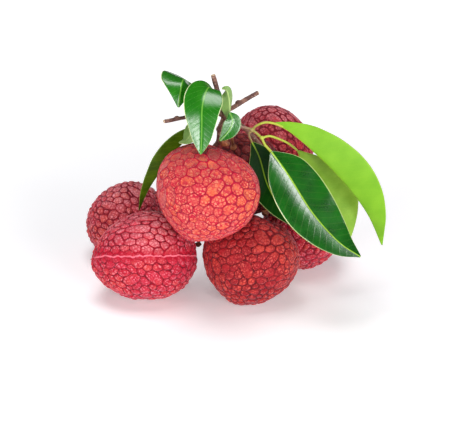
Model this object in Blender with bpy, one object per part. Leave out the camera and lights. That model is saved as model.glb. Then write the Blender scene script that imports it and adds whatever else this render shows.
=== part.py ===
"""Bunch of lychees: seven whole fruits, their stalks, ten leaves and the cut twig that carries them.

The bunch rests as a heap on the plane z = 0. +x is to its right and +y to its back.
Lengths are in millimetres here, and MM turns them into Blender's metres.
"""
from math import cos, exp, radians, sin

import bmesh
import bpy
from mathutils import Vector

MM = 0.001

# ---- driving dimensions --------------------------------------------------------------------

HEAP_SHIFT = (-0.3, -26.7, 0.0)  # moves the middle of the bunch's footprint to the origin

FRUIT_SEGMENTS = 24             # meridians of each fruit
FRUIT_RINGS = 14                # parallels of each fruit
FRUIT_TAPER = 0.10              # how much wider a fruit is near its stem than near its tip
STEM_DIP = 1.6                  # depth of the hollow that the stalk stands in
STEM_DIP_RADIUS = 0.30          # its radius, as a share of the fruit's
TIP_POINT = 1.0                 # height of the small point at the far end
TIP_POINT_RADIUS = 0.22

LEAF_THICKNESS = 0.5
LEAF_ROWS = 16                  # divisions from a leaf's base to its tip
LEAF_COLUMNS = 4                # divisions across it, two on each side of the midrib

WOOD_SIDES = 8
STALK_SIDES = 6
PATH_STEP = 3.0                 # spacing of the rings along twigs and stalks

# Each fruit: middle, size (length from stem to tip, width, thickness), the way its stem end
# points, and the side that its seam is on.
FRUITS = {
    "fruit_top": ((-8.5, -3.0, 47.8), (34.8, 37.8, 36.0), (0.36, 0.30, 0.88), (0.8, -0.6, 0.0)),
    "fruit_front_left": ((-31.7, 8.5, 16.4), (39.6, 33.4, 33.0), (0.96, 0.25, 0.03), (0.0, -0.9, 0.42)),
    "fruit_back_left": ((-40.3, 41.0, 15.0), (32.0, 32.0, 31.0), (0.92, -0.30, 0.25), (0.0, 1.0, 0.0)),
    "fruit_front_right": ((7.4, 6.2, 16.5), (34.0, 36.0, 34.0), (0.30, 0.45, 0.84), (1.0, 0.0, 0.0)),
    "fruit_back_right": ((28.0, 33.6, 14.9), (30.4, 31.0, 30.6), (-0.25, -0.35, 0.90), (1.0, 0.3, 0.0)),
    "fruit_middle": ((5.0, 30.4, 39.4), (32.0, 32.0, 31.4), (-0.20, -0.50, 0.84), (1.0, 0.0, 0.0)),
    "fruit_high_back": ((17.0, 59.4, 39.4), (34.6, 30.0, 31.0), (-0.82, -0.10, 0.56), (0.3, -0.9, 0.3)),
}

# Each leaf: midrib from base to tip, the way its upper face looks at the base and at the tip,
# its half widths at even steps along the midrib, and the angle by which each half is folded up.
LEAVES = {
    "leaf_right_arching": (
        ((15.9, 3.0, 72.0), (21.7, 1.5, 69.0), (31.5, 0.0, 60.5), (41.5, 0.0, 49.5), (50.0, 2.0, 36.9),
         (56.2, 5.0, 22.5)),
        ((0.5, 0.8, 0.5), (0.9, 0.5, 0.3)), (0.6, 5.6, 8.6, 9.8, 9.6, 7.6, 4.4, 0.5), 52.0),
    "leaf_right_behind": (
        ((24.2, 5.4, 60.4), (26.2, 9.0, 54.5), (30.2, 12.0, 44.4), (35.7, 12.0, 33.0), (43.7, 9.0, 19.6)),
        ((0.5, 0.8, 0.4), (0.6, 0.8, 0.2)), (0.6, 5.0, 8.6, 10.8, 12.0, 11.0, 7.0, 0.5), 45.0),
    "leaf_front_long": (
        ((14.6, -3.0, 63.7), (20.6, -7.0, 56.5), (29.3, -13.0, 44.3), (38.4, -17.5, 35.2),
         (46.3, -20.5, 30.6)),
        ((-0.12, -0.93, 0.35), (-0.12, -0.93, 0.35)), (0.6, 6.8, 9.0, 9.6, 9.0, 7.2, 4.3, 0.5), -10.0),
    "leaf_shaded": (
        ((7.9, 8.4, 62.6), (10.8, 11.0, 55.1), (13.5, 11.0, 45.1), (17.5, 7.6, 38.3), (23.0, 3.6, 31.3)),
        ((0.2, -0.9, 0.4), (0.2, -0.9, 0.4)), (0.5, 4.8, 6.4, 6.4, 4.0, 0.5), 10.0),
    "leaf_front_hanging": (
        ((-5.8, 7.2, 79.4), (-6.4, 6.6, 82.4), (-7.4, 4.0, 85.2), (-8.8, 0.0, 84.2), (-9.8, -4.0, 80.4),
         (-9.9, -6.5, 75.4), (-10.0, -8.5, 70.3), (-10.3, -10.2, 65.6)),
        ((0.1, -0.3, 0.9), (0.0, -0.95, 0.3)), (0.6, 2.6, 5.6, 7.0, 6.2, 4.8, 3.2, 0.5), 10.0),
    "leaf_top_left": (
        ((-7.6, 9.6, 78.4), (-10.8, 12.6, 81.0), (-14.6, 11.0, 84.6), (-16.3, 7.2, 87.2),
         (-17.0, 3.6, 87.0), (-17.6, 0.9, 84.0), (-18.2, -0.8, 79.6)),
        ((0.3, 0.2, 0.9), (0.05, -0.9, 0.3)), (0.6, 2.6, 5.6, 8.8, 7.2, 3.8, 0.5), -20.0),
    "leaf_pale_hanging": (
        ((-3.0, 7.4, 83.5), (-1.2, 7.0, 82.8), (-0.2, 6.2, 79.6), (0.0, 5.7, 75.8), (-0.6, 5.5, 72.4)),
        ((-0.2, 0.9, 0.5), (-0.7, 0.7, 0.0)), (0.5, 2.6, 3.8, 3.8, 2.6, 0.5), 50.0),
    "leaf_above_nub": (
        ((-0.2, 3.6, 76.0), (0.9, 2.6, 73.2), (-0.4, 1.5, 69.9), (-3.7, 0.4, 66.4)),
        ((0.24, -0.91, 0.34), (0.24, -0.91, 0.34)), (0.5, 2.6, 3.3, 2.9, 1.8, 0.5), 8.0),
    "leaf_curled": (
        ((-6.6, 10.6, 70.8), (-9.6, 8.8, 70.4), (-13.1, 5.4, 68.7), (-15.4, 2.6, 65.9), (-18.3, 1.4, 65.3)),
        ((0.3, 0.9, 0.1), (0.2, 0.2, -0.9)), (0.5, 2.6, 3.6, 3.4, 2.2, 0.5), 12.0),
    "leaf_left_drooping": (
        ((-7.4, 11.2, 67.6), (-14.5, 11.5, 63.1), (-20.1, 12.5, 57.0), (-24.7, 14.0, 49.6),
         (-28.2, 15.5, 43.9), (-30.9, 17.0, 38.5), (-34.2, 20.0, 29.8)),
        ((-0.4, 0.6, 0.7), (-0.9, 0.4, 0.3)), (0.6, 4.0, 5.6, 6.0, 5.2, 3.6, 2.0, 0.5), 45.0),
}

# The woody parts, each a path with its diameters at both ends.
KNOT = (-2.9, 9.0, 74.0)
KNOT_RADIUS = 1.9
TWIG_BRANCHES = {
    "cut_stub": (((-2.9, 9.0, 74.0), (-3.9, 10.0, 79.4), (-6.1, 11.0, 87.8)), 2.0, 1.7),
    "left_spur": (((-2.9, 9.0, 74.0), (-8.6, 7.0, 74.3), (-14.6, 4.6, 74.0), (-23.8, 1.0, 73.5)), 1.6, 1.4),
    "right_spur": (((-2.9, 9.0, 74.0), (0.4, 10.0, 75.0), (5.4, 12.0, 77.5), (10.5, 14.0, 79.8)), 1.9, 1.6),
    "left_branch": (((-2.9, 9.0, 74.0), (-2.4, 9.8, 71.0), (-3.8, 11.8, 66.6), (-4.6, 14.2, 60.0),
                     (-10.0, 18.2, 52.0), (-16.0, 20.4, 42.0), (-17.2, 20.0, 37.0)), 2.0, 1.4),
    "right_branch": (((-2.9, 9.0, 74.0), (1.0, 11.4, 70.0), (7.0, 14.4, 64.0), (13.4, 16.0, 54.0),
                      (16.4, 14.8, 44.0), (16.2, 15.2, 37.5)), 2.0, 1.4),
}

STALKS = {
    "stalk_fruit_top": (((-1.0, 7.6, 71.0), (-0.9, 4.8, 68.4), (-2.2, 2.4, 64.6)), 1.4, 1.8),
    "stalk_fruit_front_left": (((-16.9, 19.4, 35.6), (-14.6, 20.0, 29.5), (-11.4, 17.6, 23.4),
                                (-12.0, 14.2, 18.2)), 1.3, 1.3),
    "stalk_fruit_back_left": (((-18.6, 20.8, 36.6), (-21.6, 25.6, 33.2), (-23.4, 31.6, 26.6),
                               (-24.8, 35.4, 20.6)), 1.3, 1.3),
    "stalk_fruit_front_right": (((15.8, 15.0, 36.0), (14.6, 14.6, 34.0), (12.6, 13.9, 31.4)), 1.3, 1.3),
    "stalk_fruit_back_right": (((17.6, 16.2, 36.6), (20.2, 19.6, 35.8), (23.2, 24.6, 33.2),
                                (23.9, 27.4, 30.0)), 1.3, 1.3),
    "stalk_fruit_middle": (((-2.6, 13.6, 68.4), (0.0, 17.2, 63.0), (1.4, 20.8, 55.2)), 1.3, 1.3),
    "stalk_fruit_high_back": (((-1.2, 12.4, 71.6), (-0.4, 22.0, 67.0), (-1.2, 38.0, 62.0), (0.0, 50.0, 55.6),
                               (2.6, 56.6, 50.6)), 1.3, 1.3),
}

# The stalk that carries the four right-hand leaves, and its four short side stalks.
LEAF_STALK = {
    "leaf_stalk": (((0.7, 8.6, 71.0), (3.8, 7.0, 69.2), (7.9, 5.0, 68.7), (11.4, 1.0, 67.2)), 1.1, 0.9),
    "side_stalk_arching": (((7.9, 5.0, 68.7), (9.5, 4.0, 70.8), (12.5, 3.0, 72.4), (15.5, 3.0, 72.1)),
                           0.9, 0.8),
    "side_stalk_behind": (((11.4, 1.0, 67.2), (14.0, 1.0, 68.0), (17.4, 2.0, 66.5), (21.0, 3.0, 64.3),
                           (23.6, 4.0, 61.7)), 0.9, 0.8),
    "side_stalk_front": (((11.4, 1.0, 67.2), (12.5, -1.0, 65.4), (14.3, -2.8, 64.1)), 0.9, 0.8),
    "side_stalk_shaded": (((7.9, 5.0, 68.7), (6.8, 5.8, 66.6), (7.7, 7.6, 63.3)), 0.9, 0.8),
}

# Surface of each kind of piece: linear colour, roughness.
FRUIT_SKIN = ((0.62, 0.07, 0.07, 1.0), 0.55)
LEAF_GREEN = ((0.06, 0.22, 0.02, 1.0), 0.35)
LEAF_PALE = ((0.25, 0.50, 0.05, 1.0), 0.50)
TWIG_BARK = ((0.20, 0.09, 0.06, 1.0), 0.80)
YOUNG_STALK = ((0.42, 0.36, 0.10, 1.0), 0.55)
PALE_LEAVES = ("leaf_right_arching", "leaf_right_behind", "leaf_pale_hanging", "leaf_curled")


# ---- helpers -------------------------------------------------------------------------------

def surface(name, colour, roughness):
    """A plain non-metal material of its own for one piece."""
    material = bpy.data.materials.new(name + "_surface")
    material.use_nodes = True
    shader = material.node_tree.nodes["Principled BSDF"]
    shader.inputs["Base Color"].default_value = colour
    shader.inputs["Roughness"].default_value = roughness
    shader.inputs["Metallic"].default_value = 0.0
    return material


def add_object(name, mesh_builder, finish):
    """Turn a bmesh, in millimetres, into a smooth shaded object under the heap's empty."""
    mesh = bpy.data.meshes.new(name)
    bmesh.ops.recalc_face_normals(mesh_builder, faces=mesh_builder.faces)
    bmesh.ops.scale(mesh_builder, vec=(MM, MM, MM), verts=mesh_builder.verts)
    mesh_builder.to_mesh(mesh)
    mesh_builder.free()
    mesh.shade_smooth()
    piece = bpy.data.objects.new(name, mesh)
    piece.parent = heap
    bpy.context.scene.collection.objects.link(piece)
    piece.data.materials.append(surface(name, *finish))
    return piece


def smooth_path(points, count):
    """Points spaced evenly along the Catmull-Rom curve through the given ones."""
    knots = [Vector(point) for point in points]
    knots = [2 * knots[0] - knots[1]] + knots + [2 * knots[-1] - knots[-2]]
    dense = []
    steps = 12
    for i in range(1, len(knots) - 2):
        before, start, end, after = knots[i - 1:i + 3]
        for k in range(steps):
            t = k / steps
            dense.append(0.5 * (2 * start + (end - before) * t
                                + (2 * before - 5 * start + 4 * end - after) * t ** 2
                                + (3 * start - before - 3 * end + after) * t ** 3))
    dense.append(knots[-2])
    reach = [0.0]
    for a, b in zip(dense, dense[1:]):
        reach.append(reach[-1] + (b - a).length)
    even = []
    at = 0
    for i in range(count):
        goal = reach[-1] * i / (count - 1)
        while at < len(dense) - 2 and reach[at + 1] < goal:
            at += 1
        share = (goal - reach[at]) / (reach[at + 1] - reach[at])
        even.append(dense[at].lerp(dense[at + 1], share))
    return even


def directions(path):
    """Unit tangents of a path."""
    ahead = path[1:] + path[-1:]
    behind = path[:1] + path[:-1]
    return [(a - b).normalized() for a, b in zip(ahead, behind)]


def path_length(points):
    return sum((Vector(b) - Vector(a)).length for a, b in zip(points, points[1:]))


# ---- fruits --------------------------------------------------------------------------------

def fruit_shape(point, size):
    """Carry a point of the unit sphere to the fruit's skin; +z is the stem end."""
    length, width, thickness = size
    off_axis = (point.x ** 2 + point.y ** 2) ** 0.5
    swell = 1 + FRUIT_TAPER * point.z
    height = point.z * length / 2
    if point.z > 0:
        height -= STEM_DIP * exp(-(off_axis / STEM_DIP_RADIUS) ** 2)
    else:
        height -= TIP_POINT * exp(-(off_axis / TIP_POINT_RADIUS) ** 2)
    return Vector((point.x * width / 2 * swell, point.y * thickness / 2 * swell, height))


def build_fruit(name, middle, size, stem, seam):
    """A heart-shaped solid; fruits that lie on the ground are pressed flat where they touch it."""
    up = Vector(stem).normalized()
    across = (Vector(seam) - up * up.dot(Vector(seam))).normalized()
    side = up.cross(across)
    shape = bmesh.new()
    bmesh.ops.create_uvsphere(shape, u_segments=FRUIT_SEGMENTS, v_segments=FRUIT_RINGS, radius=1.0)
    for vert in shape.verts:
        local = fruit_shape(vert.co, size)
        vert.co = Vector(middle) + across * local.x + side * local.y + up * local.z
    cut = bmesh.ops.bisect_plane(shape, geom=shape.verts[:] + shape.edges[:] + shape.faces[:],
                                 plane_co=(0, 0, 0), plane_no=(0, 0, 1), clear_inner=True)
    rim = [edge for edge in cut["geom_cut"] if isinstance(edge, bmesh.types.BMEdge)]
    if rim:
        bmesh.ops.contextual_create(shape, geom=rim)
    return add_object(name, shape, FRUIT_SKIN)


# ---- leaves --------------------------------------------------------------------------------

def width_at(widths, t):
    """Half width of a blade at the share t of its midrib, smooth between the given ones."""
    place = t * (len(widths) - 1)
    i = min(int(place), len(widths) - 2)
    start, end = widths[i], widths[i + 1]
    before = widths[i - 1] if i > 0 else start
    after = widths[i + 2] if i + 2 < len(widths) else end
    u = place - i
    return 0.5 * (2 * start + (end - before) * u + (2 * before - 5 * start + 4 * end - after) * u ** 2
                  + (3 * start - before - 3 * end + after) * u ** 3)


def build_leaf(name, midrib, faces, widths, fold):
    """A thin folded blade laid along its midrib."""
    path = smooth_path(midrib, LEAF_ROWS + 1)
    shape = bmesh.new()
    rows = []
    for i, (centre, along) in enumerate(zip(path, directions(path))):
        t = i / LEAF_ROWS
        facing = Vector(faces[0]).lerp(Vector(faces[1]), t)
        normal = (facing - along * along.dot(facing)).normalized()
        side = along.cross(normal)
        reach = width_at(widths, t)
        row = []
        for j in range(LEAF_COLUMNS + 1):
            s = 2 * j / LEAF_COLUMNS - 1
            out = side * (s * cos(radians(fold))) + normal * (abs(s) * sin(radians(fold)))
            row.append(shape.verts.new(centre + out * reach))
        rows.append(row)
    for low, high in zip(rows, rows[1:]):
        for j in range(LEAF_COLUMNS):
            shape.faces.new((low[j], low[j + 1], high[j + 1], high[j]))
    leaf = add_object(name, shape, LEAF_PALE if name in PALE_LEAVES else LEAF_GREEN)
    wall = leaf.modifiers.new("blade_thickness", "SOLIDIFY")
    wall.thickness = LEAF_THICKNESS * MM
    wall.offset = 0.0
    return leaf


# ---- twig and stalks -----------------------------------------------------------------------

def tube(name, points, start_diameter, end_diameter, sides, finish):
    """A tapering round rod along a smooth path, closed at both ends."""
    count = max(3, round(path_length(points) / PATH_STEP) + 1)
    path = smooth_path(points, count)
    along = directions(path)
    across = along[0].orthogonal().normalized()
    shape = bmesh.new()
    rings = []
    for i, (centre, way) in enumerate(zip(path, along)):
        across = (across - way * across.dot(way)).normalized()
        side = way.cross(across)
        radius = (start_diameter + (end_diameter - start_diameter) * i / (count - 1)) / 2
        ring = []
        for k in range(sides):
            angle = radians(360 * k / sides)
            ring.append(shape.verts.new(centre + (across * cos(angle) + side * sin(angle)) * radius))
        rings.append(ring)
    for low, high in zip(rings, rings[1:]):
        for k in range(sides):
            n = (k + 1) % sides
            shape.faces.new((low[k], low[n], high[n], high[k]))
    shape.faces.new(rings[0][::-1])
    shape.faces.new(rings[-1])
    return add_object(name, shape, finish)


def join_wood(body, others):
    """Grow the other rods into the body, so that they are one solid."""
    for other in others:
        other.hide_render = True
        other.display_type = "WIRE"
        union = body.modifiers.new("grown_" + other.name, "BOOLEAN")
        union.operation = "UNION"
        union.object = other


def build_twig():
    """The cut twig: a knotty joint with a stub, two side spurs and two branches to the fruits."""
    shape = bmesh.new()
    bmesh.ops.create_icosphere(shape, subdivisions=2, radius=KNOT_RADIUS)
    bmesh.ops.translate(shape, vec=KNOT, verts=shape.verts)
    twig = add_object("twig", shape, TWIG_BARK)
    rods = [tube(name, *rod, WOOD_SIDES, TWIG_BARK) for name, rod in TWIG_BRANCHES.items()]
    join_wood(twig, rods)


def build_leaf_stalk():
    """The thin stalk of the right-hand leaves, with the short stalk of each leaf."""
    rods = [tube(name, *rod, STALK_SIDES, YOUNG_STALK) for name, rod in LEAF_STALK.items()]
    join_wood(rods[0], rods[1:])


# ---- the bunch -----------------------------------------------------------------------------

for old in list(bpy.data.objects):
    bpy.data.objects.remove(old, do_unlink=True)

heap = bpy.data.objects.new("heap", None)
heap.location = Vector(HEAP_SHIFT) * MM
bpy.context.scene.collection.objects.link(heap)

for fruit, facts in FRUITS.items():
    build_fruit(fruit, *facts)
for leaf, facts in LEAVES.items():
    build_leaf(leaf, *facts)
build_twig()
for stalk, facts in STALKS.items():
    tube(stalk, *facts, STALK_SIDES, TWIG_BARK)
build_leaf_stalk()
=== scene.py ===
# %% [markdown]
# # A bunch of lychees
# Seven whole lychees lie in a heap, still tied by thin stalks to one cut twig with ten leaves.
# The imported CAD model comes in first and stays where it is. Each of its plain solids is then
# replaced by a finished piece in the same place: rind with plates, blades with veins, bark.

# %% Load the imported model
import math
import random

import bpy
import numpy as np
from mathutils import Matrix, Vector, noise


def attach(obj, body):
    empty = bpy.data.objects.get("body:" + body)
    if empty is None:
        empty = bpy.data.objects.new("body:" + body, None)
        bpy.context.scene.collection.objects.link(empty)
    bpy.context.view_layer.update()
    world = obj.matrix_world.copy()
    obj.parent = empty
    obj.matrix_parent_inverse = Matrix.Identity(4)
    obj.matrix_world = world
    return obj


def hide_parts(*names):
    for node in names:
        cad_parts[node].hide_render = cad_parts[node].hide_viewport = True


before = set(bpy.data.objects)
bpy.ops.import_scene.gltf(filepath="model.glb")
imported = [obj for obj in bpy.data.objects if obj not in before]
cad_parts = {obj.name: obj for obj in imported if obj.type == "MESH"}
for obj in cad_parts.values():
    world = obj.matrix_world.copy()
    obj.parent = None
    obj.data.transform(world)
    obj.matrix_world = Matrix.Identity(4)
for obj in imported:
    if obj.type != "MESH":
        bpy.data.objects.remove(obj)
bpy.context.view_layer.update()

MM = 0.001
# The tables below are in the heap's own millimetres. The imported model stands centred, so
# every place is moved by this much.
HEAP_SHIFT = np.array((-0.3, -26.7, 0.0))
print("CAD nodes:", len(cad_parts))

# %% [markdown]
# The camera comes first, because every later choice is judged through it. It looks at the
# heap from in front and a little above, through a long lens, as a product table is usually
# shot: far away and zoomed in, so that near and far fruits keep their true sizes.

# %% Camera
CAMERA_HEIGHT = math.radians(25)
CAMERA_DISTANCE = 0.6
LOOK_AT = Vector((HEAP_SHIFT[0] * MM, HEAP_SHIFT[1] * MM, 0.038))
VIEW_WIDTH = 0.167273

looking = Vector((0, math.cos(CAMERA_HEIGHT), -math.sin(CAMERA_HEIGHT)))
camera_data = bpy.data.cameras.new("camera")
camera_data.sensor_fit = "HORIZONTAL"
camera_data.sensor_width = 36
camera_data.lens = camera_data.sensor_width * CAMERA_DISTANCE / VIEW_WIDTH
camera_data.clip_start = 0.01
camera = bpy.data.objects.new("camera", camera_data)
camera.location = LOOK_AT - looking * CAMERA_DISTANCE
camera.rotation_euler = (math.pi / 2 - CAMERA_HEIGHT, 0, 0)
bpy.context.collection.objects.link(camera)
bpy.context.scene.camera = camera
print("lens:", round(camera_data.lens, 1), "mm")

# %% [markdown]
# Operators act on whatever is selected, so each step first clears the selection and then
# picks one piece. These few helpers do that, read and write all points of a mesh at once,
# and apply a modifier, so that the later cells can talk about the fruit and not the tools.

# %% Picking a piece
def choose(piece):
    """Selects one object and nothing else, in object mode."""
    if bpy.context.mode != "OBJECT":
        bpy.ops.object.mode_set(mode="OBJECT")
    bpy.ops.object.select_all(action="DESELECT")
    if piece:
        piece.select_set(True)
        bpy.context.view_layer.objects.active = piece


def edit_all(piece):
    """Opens a piece in edit mode with everything on it selected."""
    choose(piece)
    bpy.ops.object.mode_set(mode="EDIT")
    bpy.ops.mesh.select_all(action="SELECT")


print("picking helpers ready")


# %% Points and attributes
def points_of(piece):
    """The places of all points, one row each."""
    flat = np.empty(len(piece.data.vertices) * 3)
    piece.data.vertices.foreach_get("co", flat)
    return flat.reshape(-1, 3)


def move_points(piece, points):
    """Puts all points of a piece at new places."""
    piece.data.vertices.foreach_set("co", np.asarray(points).ravel())
    piece.data.update()


def normals_of(piece):
    """The outward direction at each point."""
    flat = np.empty(len(piece.data.vertices) * 3)
    piece.data.vertex_normals.foreach_get("vector", flat)
    return flat.reshape(-1, 3)


def write_attribute(piece, name, values, domain="POINT", kind="FLOAT"):
    """Stores one value per point or face, for a material to read."""
    layer = piece.data.attributes.get(name) or piece.data.attributes.new(name, kind, domain)
    layer.data.foreach_set("vector" if kind == "FLOAT_VECTOR" else "value", np.ravel(values))


def read_attribute(piece, name):
    """Reads back one value per point or face."""
    layer = piece.data.attributes[name]
    values = np.empty(len(layer.data))
    layer.data.foreach_get("value", values)
    return values


print("point helpers ready")


# %% Modifiers, small sums and the frame
def apply_modifier(piece, kind, **settings):
    """Adds a modifier, sets it up and applies it."""
    choose(piece)
    modifier = piece.modifiers.new(kind.title(), kind)
    for name, value in settings.items():
        setattr(modifier, name, value)
    bpy.ops.object.modifier_apply(modifier=modifier.name)


def soften(piece, levels=1):
    """Rounds a piece with a subdivision surface and shades it smooth."""
    apply_modifier(piece, "SUBSURF", levels=levels, render_levels=levels)
    bpy.ops.object.shade_smooth()


def unit(vector):
    """A direction of length one."""
    vector = np.asarray(vector, float)
    return vector / np.linalg.norm(vector)


def smoothstep(low, high, values):
    """0 below low, 1 above high, and a soft step between."""
    t = np.clip((values - low) / (high - low), 0, 1)
    return t * t * (3 - 2 * t)


def roughly(points, scale, seed=0.0):
    """Smooth noise between about -1 and 1, for a list of places in millimetres."""
    shift = Vector((seed, seed * 1.7, -seed * 0.6))
    return np.array([noise.noise(Vector(p) / scale + shift) for p in points])


def settle(piece, node, slot, *finishes):
    """Gives the piece its finishes, hangs it on the root and hides its CAD solid. The slot is not
    used.
    """
    piece.data.materials.clear()
    for finish in finishes:
        piece.data.materials.append(finish)
    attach(piece, "root")
    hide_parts(node)


print("finishing helpers ready")

# %% [markdown]
# A finish is a small sum: so much crimson here, less shine there. The class below wraps a
# node's socket so that such sums can be written as plain Python, and every other node comes
# from one method that takes its type, its settings and what goes into its sockets.

# %% Sums on wires
class Wire:
    """One output of a node, which Python's own operators can work with."""

    def __init__(self, paint, socket):
        self.paint = paint
        self.socket = socket

    def __add__(self, other):
        return self.paint.maths("ADD", self, other)

    def __sub__(self, other):
        return self.paint.maths("SUBTRACT", self, other)

    def __rsub__(self, other):
        return self.paint.maths("SUBTRACT", other, self)

    def __mul__(self, other):
        return self.paint.maths("MULTIPLY", self, other)

    def __truediv__(self, other):
        return self.paint.maths("DIVIDE", self, other)

    __radd__ = __add__
    __rmul__ = __mul__

    def step(self, low, high):
        """0 below low, 1 above high, with a soft step between. High may be the smaller."""
        settings = {"interpolation_type": "SMOOTHSTEP"}
        return self.paint.node("ShaderNodeMapRange", settings, {0: self, 1: low, 2: high})


print("wires add, subtract, multiply, divide and step")


# %% The nodes of one material
class Paint:
    """The nodes of one material."""

    def __init__(self, name):
        self.material = bpy.data.materials.new(name)
        self.material.use_nodes = True
        self.tree = self.material.node_tree
        self.tree.nodes.clear()

    def node(self, kind, settings=None, inputs=None, output=0):
        """Adds a node: its settings first, then the values or wires of its sockets."""
        made = self.tree.nodes.new(kind)
        for name, value in (settings or {}).items():
            setattr(made, name, value)
        for name, value in (inputs or {}).items():
            if isinstance(value, Wire):
                self.tree.links.new(value.socket, made.inputs[name])
            else:
                made.inputs[name].default_value = value
        return None if output is None else Wire(self, made.outputs[output])

    def maths(self, operation, first, second=0.0):
        return self.node("ShaderNodeMath", {"operation": operation}, {0: first, 1: second})

    def mix(self, first, second, amount):
        """One colour into another by an amount."""
        settings = {"data_type": "RGBA", "clamp_factor": True}
        return self.node("ShaderNodeMix", settings, {0: amount, 6: first, 7: second}, 2)

    def attribute(self, name, output="Fac"):
        return self.node("ShaderNodeAttribute", {"attribute_name": name}, None, output)

    def noise(self, place, scale, detail=2.0, roughness=0.5):
        inputs = {"Vector": place, "Scale": scale, "Detail": detail, "Roughness": roughness}
        return self.node("ShaderNodeTexNoise", None, inputs)

    def cells(self, place, scale, feature="F1"):
        inputs = {"Vector": place, "Scale": scale}
        return self.node("ShaderNodeTexVoronoi", {"feature": feature}, inputs, "Distance")

    def scaled(self, place, factors):
        """A place stretched by three factors."""
        return self.node("ShaderNodeVectorMath", {"operation": "MULTIPLY"}, {0: place, 1: factors})

    def split(self, place):
        """The three parts of a place."""
        parts = self.node("ShaderNodeSeparateXYZ", None, {0: place})
        return [Wire(self, socket) for socket in parts.socket.node.outputs]

    def relief(self, height, depth):
        """Fine bumps of that depth in metres, as a normal."""
        return self.node("ShaderNodeBump", None, {"Height": height, "Distance": depth})

    def surface(self, colour, roughness, normal, **constants):
        """The shader itself. What varies comes as wires, and the rest as plain numbers."""
        inputs = {"Base Color": colour, "Roughness": roughness, "Normal": normal}
        inputs.update({name.replace("_", " "): value for name, value in constants.items()})
        shader = self.node("ShaderNodeBsdfPrincipled", None, inputs)
        self.node("ShaderNodeOutputMaterial", None, {"Surface": shader}, None)
        return self.material


def shade(red, green, blue):
    """A colour picked as 0 to 255 on a screen, as the linear values that a shader takes."""
    parts = [c / 255 for c in (red, green, blue)]
    return tuple(c / 12.92 if c <= 0.04045 else ((c + 0.055) / 1.055) ** 2.4 for c in parts) + (1,)


print("shader helpers ready")

# %% [markdown]
# ## The fruits
# A lychee's rind is a mosaic of leathery plates, about four millimetres across, with narrow
# grooves between them and a small blunt point on each. Carving grooves into a round ball
# would need millions of faces. A ball that is already divided into plates needs only a few
# hundred: points are wound round a ball like seeds in a sunflower head, a skin is drawn over
# them, and the dual of that skin has one plate for each point. Real plates are uneven, so the
# points are nudged, a few pairs of plates are merged, and on the fruits in front each edge
# gets a middle point, because rounding then leaves the plates with corners.

# %% Plates wound round a ball
GOLDEN_TURN = math.pi * (3 - math.sqrt(5))
CROWDING = 0.16
JITTER = 0.34
MERGED_SHARE = 0.035


def dual_mesh_nodes():
    """A tiny geometry-nodes tool that swaps the faces and points of a mesh."""
    group = bpy.data.node_groups.new("dual mesh", "GeometryNodeTree")
    group.interface.new_socket("Mesh", in_out="INPUT", socket_type="NodeSocketGeometry")
    group.interface.new_socket("Mesh", in_out="OUTPUT", socket_type="NodeSocketGeometry")
    start = group.nodes.new("NodeGroupInput")
    dual = group.nodes.new("GeometryNodeDualMesh")
    end = group.nodes.new("NodeGroupOutput")
    group.links.new(start.outputs[0], dual.inputs[0])
    group.links.new(dual.outputs[0], end.inputs[0])
    return group


DUAL = dual_mesh_nodes()


def pick_edges(ball, wanted):
    """Opens edit mode with only the edges that a test accepts."""
    edit_all(ball)
    bpy.ops.mesh.select_mode(type="EDGE")
    bpy.ops.mesh.select_all(action="DESELECT")
    choose(ball)
    for edge in ball.data.edges:
        edge.select = wanted(edge)
    bpy.ops.object.mode_set(mode="EDIT")


def merge_some_plates(ball, dice):
    """Dissolves a few edges, so that here and there two plates become one long one."""
    faces_at = {}
    for face in ball.data.polygons:
        for edge in face.edge_keys:
            faces_at.setdefault(edge, []).append(face.index)
    merged = set()

    def picked(edge):
        pair = set(faces_at[edge.key])
        if dice.random() > MERGED_SHARE or pair & merged:
            return False
        merged.update(pair)
        return True

    pick_edges(ball, picked)
    bpy.ops.mesh.dissolve_edges()
    bpy.ops.mesh.select_mode(type="FACE")
    choose(ball)


def halve_edges(ball):
    """Adds a point in the middle of each edge, so that the plates keep their corners later.
    Plates with three or four sides are left out, because the operator would cut them up."""
    small = {edge for face in ball.data.polygons if len(face.vertices) < 5 for edge in face.edge_keys}
    pick_edges(ball, lambda edge: edge.key not in small)
    bpy.ops.mesh.subdivide(number_cuts=1, ngon=True)
    bpy.ops.mesh.select_mode(type="FACE")
    choose(ball)


def ball_of_plates(name, plates, dice, corners):
    """A ball of radius one, divided into that many plates."""
    choose(None)
    bpy.ops.mesh.primitive_circle_add(vertices=plates, radius=1)
    ball = bpy.context.object
    ball.name = name
    spacing = math.sqrt(4 * math.pi / plates)
    spots = []
    for place in range(plates):
        down = math.acos(1 - 2 * (place + 0.5) / plates)
        down -= CROWDING * math.sin(2 * down) / 2
        turn = place * GOLDEN_TURN
        spot = (math.sin(down) * math.cos(turn), math.sin(down) * math.sin(turn), math.cos(down))
        nudge = [dice.uniform(-1, 1) * spacing * JITTER for _ in range(3)]
        spots.append(unit(np.add(spot, nudge)))
    move_points(ball, spots)
    edit_all(ball)
    bpy.ops.mesh.convex_hull(join_triangles=False)
    bpy.ops.mesh.normals_make_consistent(inside=False)
    apply_modifier(ball, "NODES", node_group=DUAL)
    merge_some_plates(ball, dice)
    if corners:
        halve_edges(ball)
    points = points_of(ball)
    move_points(ball, points / np.linalg.norm(points, axis=1)[:, None])
    return ball


print("plates wound by", round(math.degrees(GOLDEN_TURN), 1), "degrees each")

# %% [markdown]
# The ball becomes a lychee in its own millimetres, stem end up: a little wider at the
# shoulders, a dip where the stalk enters, and the opposite end drawn out slightly. These are
# the same rules as in the CAD solid, so that the rind lies on it. A few slow dents are added.

# %% The shape of one lychee
TAPER = 0.10
STEM_DIP = (1.6, 0.30)
TIP_POINT = (1.0, 0.22)


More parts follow.
